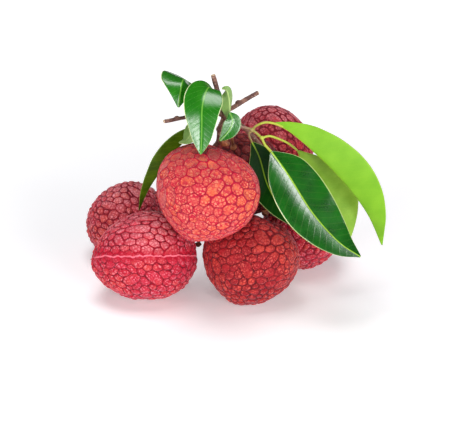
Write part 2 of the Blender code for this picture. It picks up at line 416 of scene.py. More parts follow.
def lychee_form(ball, size):
    """Points of a ball of radius one, as points of a lychee of that size in millimetres."""
    length, width, thickness = size
    x, y, z = ball.T
    off_axis = np.hypot(x, y)
    swell = 1 + TAPER * z
    height = z * length / 2
    height = height - np.where(z > 0, STEM_DIP[0] * np.exp(-(off_axis / STEM_DIP[1]) ** 2), 0)
    height = height - np.where(z < 0, TIP_POINT[0] * np.exp(-(off_axis / TIP_POINT[1]) ** 2), 0)
    return np.stack((x * width / 2 * swell, y * thickness / 2 * swell, height), 1)


print("the stem end dips", STEM_DIP[0], "mm, the other end stands out", TIP_POINT[0], "mm")

# %% [markdown]
# Each plate is then worked in edit mode with the inset operator, three times: a groove's
# floor, its wall and the broad back of the plate. A fruit with sharp plates gets a fourth
# ring, the blunt point. The operator only makes the new ring of points. Each ring is then
# drawn in towards the middle of its own plate and lifted, so that small plates get small
# rings that never cross. The ring is written down as an attribute that runs from 0 in the
# groove to 1 on the point, and every plate gets a tone of its own, so that the finish can
# follow the relief.

# %% Raising the plates
def raise_plates(fruit, rings, dice):
    """Insets every plate once per ring. A ring is (part of the last ring, rise in mm, value)."""
    choose(fruit)
    plates = len(fruit.data.polygons)
    write_attribute(fruit, "tone", [dice.random() for _ in range(plates)], "FACE")
    write_attribute(fruit, "plate", np.zeros(len(fruit.data.vertices)))
    for shrink, rise, value in rings:
        edit_all(fruit)
        bpy.ops.mesh.select_all(action="DESELECT")
        bpy.ops.object.mode_set(mode="OBJECT")
        for plate in fruit.data.polygons[:plates]:
            plate.select = True
        bpy.ops.object.mode_set(mode="EDIT")
        bpy.ops.mesh.inset(thickness=0.02 * MM, use_individual=True)
        choose(fruit)
        points = points_of(fruit)
        layer = read_attribute(fruit, "plate")
        for plate in fruit.data.polygons[:plates]:
            ring = list(plate.vertices)
            middle = points[ring].mean(axis=0)
            lifted = middle + np.array(plate.normal) * rise * MM
            points[ring] = lifted + (points[ring] - middle) * shrink
            layer[ring] = value
        move_points(fruit, points)
        write_attribute(fruit, "plate", layer)


def point_tones(fruit):
    """The tone of the plate at each point, 0.5 in the grooves between plates."""
    tones = read_attribute(fruit, "tone")
    total = np.zeros(len(fruit.data.vertices))
    count = np.zeros(len(fruit.data.vertices))
    corners = np.empty(len(fruit.data.loops), int)
    fruit.data.loops.foreach_get("vertex_index", corners)
    sides = np.empty(len(fruit.data.polygons), int)
    fruit.data.polygons.foreach_get("loop_total", sides)
    np.add.at(total, corners, np.repeat(tones, sides))
    np.add.at(count, corners, 1)
    return total / np.maximum(count, 1)


print("plates can be raised")

# %% [markdown]
# The sizes, places and directions of the seven fruits repeat the CAD's values, in
# millimetres: the middle, then length, width and thickness, then the way that the stem end
# points and the way that the seam faces. The last two numbers say how many plates the rind
# has and how pointed they are, since fruits of one bunch differ in that. The relief is sunk
# a little, so that the plates' backs lie where the CAD's smooth solid has its skin.

# %% The seven fruits
FRUITS = {
    "fruit_top": ((-8.5, -3.0, 47.8), (34.8, 37.8, 36.0), (0.36, 0.30, 0.88),
                  (0.8, -0.6, 0.0), 330, 0.35),
    "fruit_front_left": ((-31.7, 8.5, 16.4), (39.6, 33.4, 33.0), (0.96, 0.25, 0.03),
                         (0.0, -0.9, 0.42), 400, 0.75),
    "fruit_back_left": ((-40.3, 41.0, 15.0), (32.0, 32.0, 31.0), (0.92, -0.30, 0.25),
                        (0.0, 1.0, 0.0), 340, 1.0),
    "fruit_front_right": ((7.4, 6.2, 16.5), (34.0, 36.0, 34.0), (0.30, 0.45, 0.84),
                          (1.0, 0.0, 0.0), 360, 0.6),
    "fruit_back_right": ((28.0, 33.6, 14.9), (30.4, 31.0, 30.6), (-0.25, -0.35, 0.90),
                         (1.0, 0.3, 0.0), 320, 0.9),
    "fruit_middle": ((5.0, 30.4, 39.4), (32.0, 32.0, 31.4), (-0.20, -0.50, 0.84),
                     (1.0, 0.0, 0.0), 320, 0.6),
    "fruit_high_back": ((17.0, 59.4, 39.4), (34.6, 30.0, 31.0), (-0.82, -0.10, 0.56),
                        (0.3, -0.9, 0.3), 330, 0.5),
}
FRONT_FRUITS = ("fruit_top", "fruit_front_left", "fruit_front_right", "fruit_back_left")
SHARP = 0.5
SUNK = 0.22
TONE_RISE = 0.25
DENT = 0.35
DENT_SPREAD = 11


def place_in_heap(points, middle, stem, seam):
    """Turns and moves points from a fruit's own millimetres to the heap, in metres."""
    up = unit(stem)
    across = unit(np.array(seam) - up * np.dot(seam, up))
    side = np.cross(up, across)
    turned = points @ np.stack((across, side, up))
    return (turned + np.array(middle) + HEAP_SHIFT) * MM


def grow_fruit(name, seed):
    """One finished fruit, in its place in the heap."""
    middle, size, stem, seam, plates, pointed = FRUITS[name]
    dice = random.Random(seed)
    fruit = ball_of_plates(name + "_rind", plates, dice, name in FRONT_FRUITS)
    move_points(fruit, lychee_form(points_of(fruit), size) * MM)
    edit_all(fruit)
    bpy.ops.mesh.normals_make_consistent(inside=False)
    floor, wall = (0.98, 0.0, 0.12), (0.965, 0.08 + 0.08 * pointed, 0.5)
    back, point = (0.78, 0.10 + 0.12 * pointed, 0.85), (0.50, 0.02 + 0.28 * pointed, 1.0)
    raise_plates(fruit, (floor, wall, back, point) if pointed > SHARP else (floor, wall, back), dice)
    soften(fruit)
    points = points_of(fruit) / MM
    lift = (point_tones(fruit) - 0.5) * TONE_RISE * read_attribute(fruit, "plate") - SUNK
    lift += roughly(points, DENT_SPREAD, seed) * DENT
    points = points + normals_of(fruit) * lift[:, None]
    write_attribute(fruit, "ball", points, kind="FLOAT_VECTOR")
    placed = place_in_heap(points, middle, stem, seam)
    placed[:, 2] = np.maximum(placed[:, 2], 0)
    # How high each point lies in the heap. The finish uses it to paint sheen on the upper side, and
    # on the top fruit shade.
    write_attribute(fruit, "high", (placed[:, 2] - placed[:, 2].min()) / np.ptp(placed[:, 2]))
    move_points(fruit, placed)
    return fruit


fruits = {name: grow_fruit(name, seed) for seed, name in enumerate(FRUITS, 3)}
for name, fruit in fruits.items():
    print(name, "faces:", len(fruit.data.polygons))

# %% [markdown]
# ### The rind's finish
# A ripe lychee is crimson in the grooves and salmon to golden on the plates. Each plate is
# covered with granules about a millimetre across, whose tops get a pale painted glint, with
# deep rose pits between them, and the side that lies uppermost gets a painted sheen, which on
# the top fruit is a darker painted shade. The finish reads the attributes of the relief, and
# the fruit's own millimetres for the grain, so nothing slides when the fruit lies differently.
# One recipe serves all seven, with a few colours of its own for each. The fruit in front also
# shows its seam, a raised pale line that wanders and leans a little.

# %% Rind
SEAM_LEAN = 0.13
RIND_RELIEF = 0.18 * MM


def rind_finish(name, back, gold, pale, rose, groove, upper_sheen_and_shade, seam=None):
    """Leathery plates. The colours are two backs, a pale painted glint on the granules, rose
    edges, grooves, a painted sheen on the side that lies uppermost (a painted shade on the
    top fruit) and the seam."""
    paint = Paint(name)
    ball = paint.attribute("ball", "Vector")
    plate = paint.attribute("plate")
    tone = paint.attribute("tone")
    across, side, up = paint.split(ball)
    grain = paint.noise(ball, 1.9, 3.0, 0.6)
    net = paint.cells(ball, 0.8, "DISTANCE_TO_EDGE") + (grain - 0.5) * 0.3
    patch = paint.noise(ball, 0.09, 1.5)
    worn = paint.noise(ball, 0.4, 2.0)
    granule = net.step(0.0, 0.26)
    colour = paint.mix(back, gold, (tone * 0.5 + patch * 2.2 - 0.9).step(0.2, 0.8))
    # The pale colour on the granules' tops is a painted glint of light. Each fruit passes in its own
    # glint colour.
    colour = paint.mix(colour, pale, granule * (grain * 2.0 + worn * 1.2 - 1.35))
    colour = paint.mix(colour, rose, granule.step(0.8, 0.1) * (worn * 3.2 - 0.85))
    pits = paint.noise(ball, 1.15, 1.0, 0.4).step(0.53, 0.66)
    colour = paint.mix(colour, rose, pits * (worn * 1.6 - 0.1))
    # Painted sheen on the side that lies uppermost in the heap. The top fruit gets a darker colour
    # here, a painted shade from the leaves above it.
    high = paint.attribute("high") + (patch - 0.5) * 0.6
    colour = paint.mix(colour, upper_sheen_and_shade, high.step(0.62, 1.05) * plate.step(0.1, 0.7)
                       * (granule * 0.45 + worn * 0.6 - 0.05))
    edge = (plate + (grain - 0.5) * 1.3).step(0.6, 0.25) * (patch * 3.0 - 0.8)
    colour = paint.mix(colour, rose, edge)
    colour = paint.mix(colour, groove, (plate + (grain - 0.5) * 0.5).step(0.2, 0.03)
                       * (worn * 1.4 + 0.1))
    height = grain * 0.5 + granule * 0.6 + plate * 0.2 - pits * 0.4
    if seam:
        wave = paint.noise(paint.scaled(ball, (0, 0, 1)), 0.35, 1.0) - 0.5
        off = paint.maths("ABSOLUTE", side - up * SEAM_LEAN + wave * 2.4)
        front = across.step(0.0, 3.0)
        colour = paint.mix(colour, rose, off.step(3.0, 0.8) * front * 0.75)
        colour = paint.mix(colour, seam, off.step(0.42, 0.12) * front * (0.35 + worn))
        height = height + off.step(0.8, 0.1) * front * 1.5
    normal = paint.relief(height, RIND_RELIEF)
    roughness = 0.46 + (1 - plate) * 0.12 + (grain - 0.5) * 0.2
    return paint.surface(colour, roughness, normal, Specular_IOR_Level=0.22, Sheen_Weight=0.24,
                         Sheen_Roughness=0.3, Sheen_Tint=shade(240, 215, 235))


print("one rind recipe")

# %% The rinds of the seven fruits
GOLD = shade(206, 76, 56)
# Pink painted sheen for the fruits' upper sides.
PINK_SHEEN = shade(222, 138, 146)
ROSE = shade(180, 4, 40)
MAROON = shade(104, 0, 24)
# Pale pink painted glint for the granules' tops.
GRANULE_GLINT = shade(232, 148, 164)
rinds = {
    # The top fruit's last colour is darker than its plates: painted shade on its upper side.
    "fruit_top": rind_finish("rind_top", shade(204, 80, 72), shade(228, 108, 64),
                             shade(252, 156, 128), shade(188, 8, 48), shade(146, 2, 38),
                             shade(150, 74, 70)),
    "fruit_front_left": rind_finish("rind_front_left", shade(196, 32, 60), shade(210, 66, 62),
                                    GRANULE_GLINT, ROSE, MAROON, PINK_SHEEN, shade(250, 120, 138)),
    "fruit_back_left": rind_finish("rind_back_left", shade(196, 58, 68), GOLD,
                                   GRANULE_GLINT, shade(154, 4, 34), MAROON, PINK_SHEEN),
    "fruit_front_right": rind_finish("rind_front_right", shade(168, 20, 32), shade(204, 62, 48),
                                     shade(220, 96, 84), shade(138, 0, 20), shade(84, 0, 12),
                                     shade(176, 60, 60)),
    "fruit_back_right": rind_finish("rind_back_right", shade(186, 38, 54), GOLD,
                                    GRANULE_GLINT, ROSE, MAROON, PINK_SHEEN),
    # The middle fruit's colours are all far darker than the others': painted shade, as it lies deep
    # among the other fruits and under the leaves.
    "fruit_middle": rind_finish("rind_middle_painted_shade", shade(112, 4, 12), shade(140, 34, 26),
                                shade(150, 46, 44), shade(96, 0, 10), shade(60, 0, 8),
                                shade(140, 60, 54)),
    "fruit_high_back": rind_finish("rind_high_back", shade(180, 22, 40), shade(194, 44, 44),
                                   shade(206, 90, 100), shade(132, 0, 24), MAROON, PINK_SHEEN),
}
for name, fruit in fruits.items():
    settle(fruit, name, "fruit_skin", rinds[name])
print("rind finishes:", len(rinds))

# %% [markdown]
# ## The leaves
# Each of the ten leaves hangs its own way, but all are made alike. A flat grid with a map of
# its own is laid along a curved midrib, row by row, as wide as the blade is there and folded
# along its middle. The midrib's points, the way the blade faces at its base and at its tip,
# the half widths from base to tip and the fold in degrees repeat the CAD's values, in mm.

# %% Where the leaves hang
LEAVES = {
    "leaf_right_arching": (
        ((15.9, 3.0, 72.0), (21.7, 1.5, 69.0), (31.5, 0.0, 60.5), (41.5, 0.0, 49.5),
         (50.0, 2.0, 36.9), (56.2, 5.0, 22.5)),
        ((0.5, 0.8, 0.5), (0.9, 0.5, 0.3)), (0.6, 5.6, 8.6, 9.8, 9.6, 7.6, 4.4, 0.3), 52),
    "leaf_right_behind": (
        ((24.2, 5.4, 60.4), (26.2, 9.0, 54.5), (30.2, 12.0, 44.4), (35.7, 12.0, 33.0),
         (43.7, 9.0, 19.6)),
        ((0.5, 0.8, 0.4), (0.6, 0.8, 0.2)), (0.6, 5.0, 8.6, 10.8, 12.0, 11.0, 7.0, 0.3), 45),
    "leaf_front_long": (
        ((14.6, -3.0, 63.7), (20.6, -7.0, 56.5), (29.3, -13.0, 44.3), (38.4, -17.5, 35.2),
         (46.3, -20.5, 30.6)),
        ((-0.12, -0.93, 0.35), (-0.12, -0.93, 0.35)),
        (0.6, 6.8, 9.0, 9.6, 9.0, 7.2, 4.3, 0.3), -10),
    "leaf_shaded": (
        ((7.9, 8.4, 62.6), (10.8, 11.0, 55.1), (13.5, 11.0, 45.1), (17.5, 7.6, 38.3),
         (23.0, 3.6, 31.3)),
        ((0.2, -0.9, 0.4), (0.2, -0.9, 0.4)), (0.5, 4.8, 6.4, 6.4, 4.0, 0.3), 10),
    "leaf_front_hanging": (
        ((-5.8, 7.2, 79.4), (-6.4, 6.6, 82.4), (-7.4, 4.0, 85.2), (-8.8, 0.0, 84.2),
         (-9.8, -4.0, 80.4), (-9.9, -6.5, 75.4), (-10.0, -8.5, 70.3), (-10.3, -10.2, 65.6)),
        ((0.1, -0.3, 0.9), (0.0, -0.95, 0.3)), (0.6, 2.6, 5.6, 7.0, 6.2, 4.8, 3.2, 0.3), 10),
    "leaf_top_left": (
        ((-7.6, 9.6, 78.4), (-10.8, 12.6, 81.0), (-14.6, 11.0, 84.6), (-16.3, 7.2, 87.2),
         (-17.0, 3.6, 87.0), (-17.6, 0.9, 84.0), (-18.2, -0.8, 79.6)),
        ((0.3, 0.2, 0.9), (0.05, -0.9, 0.3)), (0.6, 2.6, 5.6, 8.8, 7.2, 3.8, 0.3), -20),
    "leaf_pale_hanging": (
        ((-3.0, 7.4, 83.5), (-1.2, 7.0, 82.8), (-0.2, 6.2, 79.6), (0.0, 5.7, 75.8),
         (-0.6, 5.5, 72.4)),
        ((-0.2, 0.9, 0.5), (-0.7, 0.7, 0.0)), (0.5, 2.6, 3.8, 3.8, 2.6, 0.3), 50),
    "leaf_above_nub": (
        ((-0.2, 3.6, 76.0), (0.9, 2.6, 73.2), (-0.4, 1.5, 69.9), (-3.7, 0.4, 66.4)),
        ((0.24, -0.91, 0.34), (0.24, -0.91, 0.34)), (0.5, 2.6, 3.3, 2.9, 1.8, 0.3), 8),
    "leaf_curled": (
        ((-6.6, 10.6, 70.8), (-9.6, 8.8, 70.4), (-13.1, 5.4, 68.7), (-15.4, 2.6, 65.9),
         (-18.3, 1.4, 65.3)),
        ((0.3, 0.9, 0.1), (0.2, 0.2, -0.9)), (0.5, 2.6, 3.6, 3.4, 2.2, 0.3), 12),
    "leaf_left_drooping": (
        ((-7.4, 11.2, 67.6), (-14.5, 11.5, 63.1), (-20.1, 12.5, 57.0), (-24.7, 14.0, 49.6),
         (-28.2, 15.5, 43.9), (-30.9, 17.0, 38.5), (-34.2, 20.0, 29.8)),
        ((-0.4, 0.6, 0.7), (-0.9, 0.4, 0.3)), (0.6, 4.0, 5.6, 6.0, 5.2, 3.6, 2.0, 0.3), 45),
}


def smooth_curve(knots, count):
    """That many evenly spaced points on a smooth curve through the knots."""
    knots = np.array(knots, float)
    ends = np.vstack((2 * knots[0] - knots[1], knots, 2 * knots[-1] - knots[-2]))
    curve = []
    for a, b, c, d in zip(ends, ends[1:], ends[2:], ends[3:]):
        for t in np.linspace(0, 1, 24, endpoint=False):
            curve.append(b + (c - a) * t / 2 + (2 * a - 5 * b + 4 * c - d) * t ** 2 / 2
                         + (3 * b - a - 3 * c + d) * t ** 3 / 2)
    curve = np.array(curve + [knots[-1]])
    gone = np.concatenate(([0], np.cumsum(np.linalg.norm(np.diff(curve, axis=0), axis=1))))
    stops = np.linspace(0, gone[-1], count)
    return np.stack([np.interp(stops, gone, axis) for axis in curve.T], 1), gone[-1]


print("leaves:", len(LEAVES))

# %% [markdown]
# Along the midrib, every station gets a place, a way sideways, a way that the blade faces and
# a half width. The facing turns slowly from the base to the tip, which gives a leaf its twist.

# %% Stations along a midrib
STATIONS = 200


def leaf_stations(midrib, faces, widths):
    """Places, sideways directions, facings and half widths along a leaf, and its length."""
    places, length = smooth_curve(midrib, STATIONS)
    steps = np.linspace(0, 1, STATIONS)
    heading = np.gradient(places, axis=0)
    heading /= np.linalg.norm(heading, axis=1)[:, None]
    facing = np.outer(1 - steps, faces[0]) + np.outer(steps, faces[1])
    facing -= heading * (facing * heading).sum(axis=1)[:, None]
    facing /= np.linalg.norm(facing, axis=1)[:, None]
    outline = smooth_curve([(width, i, 0) for i, width in enumerate(widths)], 2 * STATIONS)[0]
    reach = np.interp(steps * (len(widths) - 1), outline[:, 1], outline[:, 0])
    return places, np.cross(heading, facing), facing, reach, length


print("stations on each leaf:", STATIONS)

# %% [markdown]
# The blade gets its life from small things that a flat card lacks: a midrib that stands up
# from the blade, soft pillows between the side veins, and a margin that waves a little. On a
# long leaf one half also curls up towards its margin. A Solidify modifier then gives it a
# third of a millimetre of thickness and turns its far side into a second material, because a
# leaf is glossy above and dull and paler below.

# %% Relief of a blade
RIB = (0.13, 0.3)
PILLOW = 0.011
CUP = 0.02
LONG_LEAF = 30
WAVE = 0.35
WAVE_SPREAD = 7
VEIN_SLANT = 0.8


def vein_gap(length):
    """Millimetres between side veins. A short leaf has them closer together."""
    return 1.2 + length * 0.028


def blade_lift(off, part, along, reach, length, bend, seed):
    """Millimetres that each point stands off a flat blade."""
    gone = along * length
    inside = smoothstep(1.0, 0.75, np.abs(part)) * smoothstep(0.0, 0.08, along)
    veins = np.sin(2 * math.pi * (gone - np.abs(off) * VEIN_SLANT) / vein_gap(length))
    lift = np.abs(off) * math.sin(bend) + RIB[0] * np.exp(-(off / RIB[1]) ** 2)
    lift += CUP * np.maximum(off, 0) ** 2 * (length > LONG_LEAF)
    lift += PILLOW * vein_gap(length) * veins * inside * smoothstep(0.0, 1.2, np.abs(off))
    flat = np.stack((off, gone, np.full(len(off), seed * 9.0)), 1)
    wave = WAVE * roughly(flat, WAVE_SPREAD, seed)
    return lift + wave * np.abs(part) ** 2 * smoothstep(0, 3, reach)


print("side veins of a 60 mm leaf lie", round(vein_gap(60), 1), "mm apart")

# %% Growing a leaf
ROWS = 44
COLUMNS = 17
BLADE_THICKNESS = 0.34


def grow_leaf(name, seed):
    """One finished leaf, in its place in the heap."""
    midrib, (base_face, tip_face), widths, fold = LEAVES[name]
    choose(None)
    bpy.ops.mesh.primitive_grid_add(x_subdivisions=COLUMNS, y_subdivisions=ROWS, size=2)
    leaf = bpy.context.object
    leaf.name = name + "_blade"
    part, along = points_of(leaf)[:, 0], (points_of(leaf)[:, 1] + 1) / 2
    part = np.sign(part) * np.abs(part) ** 1.25
    places, sideways, facing, reach, length = leaf_stations(midrib, (base_face, tip_face), widths)
    steps = np.linspace(0, 1, STATIONS)

    def at(stations):
        return np.stack([np.interp(along, steps, axis) for axis in stations.T], 1)

    reach = np.interp(along, steps, reach)
    off = part * reach
    bend = math.radians(fold)
    lift = blade_lift(off, part, along, reach, length, bend, seed)
    placed = at(places) + at(sideways) * (off * math.cos(bend))[:, None]
    placed += at(facing) * lift[:, None]
    write_attribute(leaf, "blade", np.stack((off, along * length, part), 1), kind="FLOAT_VECTOR")
    move_points(leaf, (placed + HEAP_SHIFT) * MM)
    edit_all(leaf)
    bpy.ops.mesh.normals_make_consistent(inside=False)
    choose(leaf)
    middle = leaf.data.polygons[len(leaf.data.polygons) // 2]
    if np.dot(middle.normal, np.array(base_face) + np.array(tip_face)) < 0:
        edit_all(leaf)
        bpy.ops.mesh.flip_normals()
    apply_modifier(leaf, "SOLIDIFY", thickness=BLADE_THICKNESS * MM, offset=0,
                   material_offset=1)
    soften(leaf)
    return leaf


leaves = {name: grow_leaf(name, seed) for seed, name in enumerate(LEAVES, 1)}
for name, leaf in leaves.items():
    print(name, "faces:", len(leaf.data.polygons))

# %% [markdown]
# ### The leaves' finish
# The finish reads the blade's own measures: millimetres off the midrib, millimetres from the
# base, and how near the margin is. From these it draws the yellow midrib, side veins that
# run forward, a fine net between them and the thin pale margin. The upper side is dark and
# glossy and the lower side lighter and duller, and young leaves are brighter than old ones.

# %% Leaf finish
BLADE_RELIEF = 0.03 * MM


def leaf_finish(name, blade_dark, blade_light, rib, margin, gap, roughness, vein=0.25, **shine):
    """A leaf's side: two greens that mottle it, the midrib, the margin and the veins' gap."""
    paint = Paint(name)
    place = paint.attribute("blade", "Vector")
    off, gone, part = paint.split(place)
    span = paint.maths("ABSOLUTE", off)
    mottle = paint.noise(place, 0.12, 2.0)
    net = paint.cells(place, 1.4, "DISTANCE_TO_EDGE")
    grain = paint.noise(place, 2.2, 2.0)
    turn = paint.maths("FRACT", (gone - span * VEIN_SLANT) / gap + 0.75 + (mottle - 0.5) * 0.3)
    line = paint.maths("ABSOLUTE", turn - 0.5)
    veins = line.step(0.10, 0.0) * span.step(0.3, 0.8)
    colour = paint.mix(blade_dark, blade_light, (mottle * 1.3 + grain * 0.3 - 0.3).step(0.2, 0.8))
    colour = paint.mix(colour, rib, veins * vein)
    colour = paint.mix(colour, rib, net.step(0.08, 0.0) * vein * 0.4)
    colour = paint.mix(colour, rib, (span + gone * 0.003).step(0.34, 0.16) * 0.85)
    colour = paint.mix(colour, margin, paint.maths("ABSOLUTE", part).step(0.972, 0.998))
    height = veins * -0.35 + net.step(0.1, 0.0) * -0.1 + grain * 0.25
    return paint.surface(colour, roughness + (grain - 0.5) * 0.12 + veins * 0.03,
                         paint.relief(height, BLADE_RELIEF), **shine)


print("one leaf recipe")

# %% The two sides of each leaf
YELLOW_RIB = shade(150, 190, 50)
PALE_MARGIN = shade(176, 198, 120)
LONG_GAP = vein_gap(62)
SHORT_GAP = vein_gap(28)
upper_dark = leaf_finish("leaf_upper_dark", shade(0, 66, 0), shade(10, 92, 4), YELLOW_RIB,
                         PALE_MARGIN, LONG_GAP, 0.22, 0.03, Specular_IOR_Level=0.75)
# A darker, duller copy of the dark upper side: painted shade for the leaf that lies in the shadow of
# the leaves in front of it.
upper_painted_shade = leaf_finish("leaf_upper_painted_shade", shade(0, 46, 0), shade(6, 66, 2), YELLOW_RIB,
                          PALE_MARGIN, LONG_GAP, 0.4, 0.03, Specular_IOR_Level=0.12)
upper_small = leaf_finish("leaf_upper_small", shade(12, 98, 0), shade(34, 118, 6),
                          shade(110, 170, 60), shade(200, 215, 150), SHORT_GAP, 0.25, 0.08,
                          Specular_IOR_Level=0.8)
upper_olive = leaf_finish("leaf_upper_olive", shade(52, 84, 0), shade(78, 112, 4),
                          shade(110, 140, 30), shade(120, 150, 50), LONG_GAP, 0.42,
                          Specular_IOR_Level=0.2)
under_bright = leaf_finish("leaf_under_bright", shade(104, 160, 16), shade(120, 174, 28),
                           shade(146, 180, 40), shade(140, 180, 50), LONG_GAP, 0.5, 0.1,
                           Specular_IOR_Level=0.25)
under_olive = leaf_finish("leaf_under_olive", shade(116, 160, 28), shade(144, 186, 56),
                          shade(150, 176, 50), shade(150, 180, 60), LONG_GAP, 0.5, 0.15,
                          Specular_IOR_Level=0.25)
under_pale = leaf_finish("leaf_under_pale", shade(104, 146, 62), shade(146, 178, 104),
                         shade(176, 200, 120), shade(196, 208, 150), SHORT_GAP, 0.4, 0.2)
LEAF_SIDES = {
    "leaf_right_arching": (under_bright, upper_dark, "leaf_underside"),
    "leaf_right_behind": (under_olive, upper_dark, "leaf_underside"),
    "leaf_front_long": (upper_dark, under_olive, "leaf"),
    # This leaf gets the painted shade copy of the dark upper side.
    "leaf_shaded": (upper_painted_shade, under_olive, "leaf"),
    "leaf_front_hanging": (upper_small, under_pale, "leaf"),
    "leaf_top_left": (upper_small, under_pale, "leaf"),
    "leaf_pale_hanging": (under_pale, upper_small, "leaf_underside"),
    "leaf_above_nub": (upper_small, under_pale, "leaf"),
    "leaf_curled": (under_pale, upper_small, "leaf_underside"),
    "leaf_left_drooping": (upper_olive, under_olive, "leaf"),
}
for name, (near, far, slot) in LEAF_SIDES.items():
    settle(leaves[name], name, slot, near, far)
print("leaf finishes placed")

# %% [markdown]
# ## The twig and the stalks
# The cut twig forks at one knot into five branches, and thinner stalks tie it to the fruits
# and the leaves. A branch starts as a flat grid, like the leaves, but it is rolled round its
# path into a tube and its open ends are filled. Branches that grow together are joined and
# remeshed into a single skin, so that the forks are webbed as in living wood.

# %% Rolling a grid into a branch
KNOT = (-2.9, 9.0, 74.0)
TWIG_BRANCHES = {
    "cut_stub": ((KNOT, (-3.9, 10.0, 79.4), (-6.1, 11.0, 87.6)), 2.1, 1.8),
    "left_spur": ((KNOT, (-8.6, 7.0, 74.3), (-14.6, 4.6, 74.0), (-23.6, 1.0, 73.5)), 1.6, 1.4),
    "right_spur": ((KNOT, (0.4, 10.0, 75.0), (5.4, 12.0, 77.5), (10.3, 14.0, 79.7)), 1.9, 1.6),
    "left_branch": ((KNOT, (-2.4, 9.8, 71.0), (-3.8, 11.8, 66.6), (-4.6, 14.2, 60.0),
                     (-10.0, 18.2, 52.0), (-16.0, 20.4, 42.0), (-17.2, 20.0, 37.0)), 2.0, 1.4),
    "right_branch": ((KNOT, (1.0, 11.4, 70.0), (7.0, 14.4, 64.0), (13.4, 16.0, 54.0),
                      (16.4, 14.8, 44.0), (16.2, 15.2, 37.5)), 2.0, 1.4),
}
AROUND = 14
STEP_ALONG = 0.5
ASKEW = (0.31, 0.85, 0.42)


def grow_branch(name, knots, start_width, end_width, seed, gnarl=0.12):
    """A closed tube along a path, with swellings like those of real wood."""
    length = smooth_curve(knots, 2)[1]
    rows = max(6, int(length / STEP_ALONG))
    path = smooth_curve(knots, rows + 1)[0]
    choose(None)
    bpy.ops.mesh.primitive_grid_add(x_subdivisions=AROUND, y_subdivisions=rows, size=2)
    branch = bpy.context.object
    branch.name = name
    sheet = points_of(branch)
    angle = (sheet[:, 0] + 1) * math.pi
    row = np.rint((sheet[:, 1] + 1) / 2 * rows).astype(int)
    heading = np.gradient(path, axis=0)
    heading /= np.linalg.norm(heading, axis=1)[:, None]
    first = np.cross(heading, unit(ASKEW))
    first /= np.linalg.norm(first, axis=1)[:, None]
    second = np.cross(heading, first)
    round_it = first[row] * np.cos(angle)[:, None] + second[row] * np.sin(angle)[:, None]
    radius = np.linspace(start_width, end_width, rows + 1)[row] / 2
    radius = radius * (1 + gnarl * roughly(path[row] + round_it * 0.5, 2.2, seed))
    move_points(branch, (path[row] + round_it * radius[:, None] + HEAP_SHIFT) * MM)
    edit_all(branch)
    bpy.ops.mesh.remove_doubles(threshold=0.01 * MM)
    bpy.ops.mesh.fill_holes(sides=0)
    bpy.ops.mesh.normals_make_consistent(inside=False)
    choose(branch)
    return branch


print("branches of the twig:", len(TWIG_BRANCHES))

# %% [markdown]
# Wood is never quite smooth, so knobbly buds are set on the knot and along the branches
# before all of it is drawn together. The three cut ends are marked with an attribute, so that
# the finish can show light wood there.

# %% The twig
TWIG_BUDS = ((KNOT, 3.6), ((-4.4, 9.9, 80.6), 2.6), ((-12.4, 5.4, 74.0), 2.2),
             ((-19.0, 2.8, 74.0), 2.0), ((3.0, 11.2, 76.6), 2.5), ((-3.9, 11.8, 66.4), 2.5))
CUT_BRANCHES = ("cut_stub", "left_spur", "right_spur")


def grow_bud(place, width, seed):
    """A knobbly lump where branches meet or a bud sits."""
    choose(None)
    centre = (np.array(place) + HEAP_SHIFT) * MM
    bpy.ops.mesh.primitive_ico_sphere_add(subdivisions=3, radius=width / 2 * MM)
    bud = bpy.context.object
    points = points_of(bud)
    points = points * (1 + 0.2 * roughly(points / MM, width * 0.5, seed))[:, None]
    move_points(bud, points + centre)
    return bud


def grow_together(name, parts, voxel, smoothing=3):
    """Joins the parts and draws one skin over them."""
    choose(parts[0])
    for part in parts:
        part.select_set(True)
    bpy.ops.object.join()
    whole = bpy.context.object
    whole.name = name
    apply_modifier(whole, "REMESH", mode="VOXEL", voxel_size=voxel * MM)
    apply_modifier(whole, "SMOOTH", factor=0.5, iterations=smoothing)
    bpy.ops.object.shade_smooth()
    return whole


def mark_cuts(piece, cuts, reach=0.5):
    """An attribute that is 1 on the cut faces at the ends of branches."""
    points = points_of(piece) / MM - HEAP_SHIFT
    marks = np.zeros(len(points))
    for end, before in cuts:
        way = unit(np.subtract(end, before))
        marks += smoothstep(-reach, -0.1, (points - np.array(end)) @ way) \
            * (np.linalg.norm(points - np.array(end), axis=1) < 2.0)
    write_attribute(piece, "cut", np.minimum(marks, 1))


made = [grow_branch(name, *shape, seed) for seed, (name, shape) in enumerate(TWIG_BRANCHES.items())]
made += [grow_bud(place, width, seed) for seed, (place, width) in enumerate(TWIG_BUDS, 1)]
twig = grow_together("twig_wood", made, 0.28)
cut_paths = [TWIG_BRANCHES[name][0] for name in CUT_BRANCHES]
mark_cuts(twig, [(path[-1], path[-2]) for path in cut_paths])
print("twig faces:", len(twig.data.polygons))

# %% [markdown]
# The seven fruit stalks each end in the dip of their fruit, where the dried remains of the
# flower make a small rough collar. It is a ring of seven lumps, drawn together with the
# stalk. The leaf stalks are one smooth green piece that forks twice.

